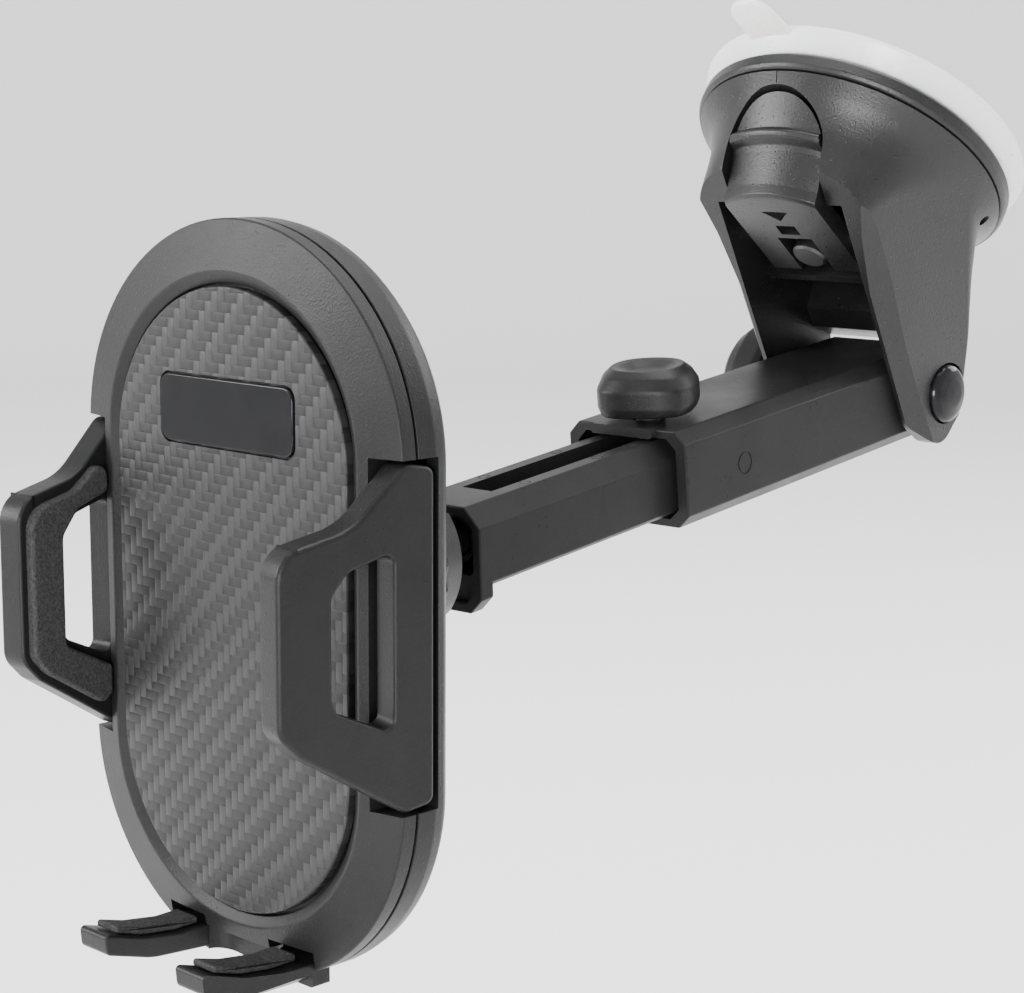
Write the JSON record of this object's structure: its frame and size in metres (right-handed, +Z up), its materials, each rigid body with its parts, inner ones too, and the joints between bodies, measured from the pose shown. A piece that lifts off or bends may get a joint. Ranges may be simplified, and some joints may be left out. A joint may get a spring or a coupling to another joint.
{
  "type": "phone mount",
  "caption": "Suction-base car phone mount with a telescopic arm, a ball joint and an oval cradle whose sprung clamp arms and foot hold the phone.",
  "frame": {"origin": "centre of the sucker's flat face", "axes": "+Z up, +Y towards the windscreen, +X to the right of a person who faces the cradle"},
  "size_m": [0.0649, 0.1852, 0.1327],
  "materials": {
    "shell": "fine-grained satin black moulding",
    "gloss": "polished black",
    "rubber": "soft grainy black rubber",
    "inlay": "dark grey panel with a woven relief",
    "gel": "cloudy clear soft gel",
    "steel": "zinc-plated steel",
    "nylon": "plain dark nylon"
  },
  "bodies": {
    "base": {"suction_pad": "gel", "base_plate": "shell", "base_housing": "shell", "plate_screw_right": "steel", "plate_screw_left": "steel", "lever_pin": "steel", "stem_spring": "steel", "pivot_bolt": "steel", "pivot_cap": "gloss", "pivot_washer_right": "nylon", "pivot_washer_left": "nylon"},
    "lever": {"lock_lever": "shell"},
    "stem": {"suction_stem": "steel"},
    "pivot_knob": {"pivot_knob": "shell"},
    "outer_arm": {"outer_tube": "shell", "clamp_shoe": "nylon"},
    "tube_knob": {"tube_knob": "shell", "clamp_screw": "steel"},
    "inner_arm": {"inner_bar": "shell", "bar_glide": "nylon"},
    "ball": {"ball_stud": "shell"},
    "liner": {"ball_liner": "nylon"},
    "cradle": {"socket_collet": "shell", "front_shell": "shell", "back_shell": "shell", "inlay_plate": "inlay", "badge": "gloss", "pinion_pin": "steel", "arm_spring": "steel", "button_spring": "steel", "pawl_pin": "steel", "shell_screw_1": "steel", "shell_screw_2": "steel", "shell_screw_3": "steel", "shell_screw_4": "steel"},
    "ring_nut": {"ring_nut": "shell"},
    "right_arm": {"clamp_arm_right": "shell", "arm_rack_right": "shell", "arm_pad_right": "rubber"},
    "left_arm": {"clamp_arm_left": "shell", "arm_rack_left": "shell", "arm_pad_left": "rubber"},
    "foot": {"foot_bracket": "shell", "foot_pad_right": "rubber", "foot_pad_left": "rubber"},
    "pinion": {"pinion_gear": "nylon"},
    "button": {"release_button": "shell"},
    "pawl": {"latch_pawl": "steel"}
  },
  "joints": [
    {"name": "lever_open", "type": "hinge", "parent": "base", "child": "lever", "pos_m": [0, -0.01276, -0.01731], "axis": [1, 0, 0], "range_deg": [0, 80]},
    {"name": "stem_slide", "type": "slide", "parent": "base", "child": "stem", "axis": [0, 0.5934, 0.8049], "range_m": [0, 0.002]},
    {"name": "pivot_knob_turn", "type": "hinge", "parent": "base", "child": "pivot_knob", "pos_m": [0, 0.00464, -0.04442], "axis": [-1, 0, 0], "continuous": true},
    {"name": "arm_pivot", "type": "hinge", "parent": "base", "child": "outer_arm", "pos_m": [0, 0.00464, -0.04442], "axis": [-1, 0, 0], "range_deg": [-100, 15]},
    {"name": "tube_knob_turn", "type": "hinge", "parent": "outer_arm", "child": "tube_knob", "pos_m": [0, -0.05711, -0.0519], "axis": [0, -0.1201, 0.9928], "continuous": true},
    {"name": "telescope", "type": "slide", "parent": "outer_arm", "child": "inner_arm", "axis": [0, -0.9928, -0.1201], "range_m": [-0.02, 0.01]},
    {"name": "ball_roll", "type": "hinge", "parent": "inner_arm", "child": "ball", "pos_m": [0, -0.11488, -0.05889], "axis": [0, -0.9928, -0.1201], "continuous": true},
    {"name": "ball_pan", "type": "hinge", "parent": "ball", "child": "liner", "pos_m": [0, -0.11488, -0.05889], "axis": [0, 0, 1], "range_deg": [-15, 15]},
    {"name": "ball_tilt", "type": "hinge", "parent": "liner", "child": "cradle", "pos_m": [0, -0.11488, -0.05889], "axis": [0.9987, -0.0515, 0], "range_deg": [-15, 15]},
    {"name": "ring_nut_turn", "type": "hinge", "parent": "cradle", "child": "ring_nut", "pos_m": [0, -0.11488, -0.05889], "axis": [0.0515, 0.9987, 0], "continuous": true},
    {"name": "arm_open_right", "type": "slide", "parent": "cradle", "child": "right_arm", "axis": [0.9987, -0.0515, 0], "range_m": [0, 0.017]},
    {"name": "arm_open_left", "type": "slide", "parent": "cradle", "child": "left_arm", "axis": [-0.9987, 0.0515, 0], "range_m": [0, 0.017]},
    {"name": "pinion_turn", "type": "hinge", "parent": "cradle", "child": "pinion", "pos_m": [-0.00154, -0.14484, -0.06129], "axis": [0.0515, 0.9987, 0], "range_deg": [-200, 0]},
    {"name": "foot_slide", "type": "slide", "parent": "cradle", "child": "foot", "axis": [0, 0, -1], "range_m": [0, 0.01]},
    {"name": "release_press", "type": "slide", "parent": "cradle", "child": "button", "axis": [-0.0515, -0.9987, 0], "range_m": [0, 0.0012], "stiffness_N_per_m": 400, "springref_m": -0.001},
    {"name": "pawl_lift", "type": "hinge", "parent": "cradle", "child": "pawl", "pos_m": [0.00345, -0.1451, -0.04379], "axis": [0.0515, 0.9987, 0], "range_deg": [0, 8]}
  ],
  "couplings": [
    {"joint": "arm_open_left", "follows": "arm_open_right", "ratio": 1},
    {"joint": "pinion_turn", "follows": "arm_open_right", "rad_per_m": -200},
    {"joint": "pawl_lift", "follows": "release_press", "rad_per_m": 114.03}
  ]
}
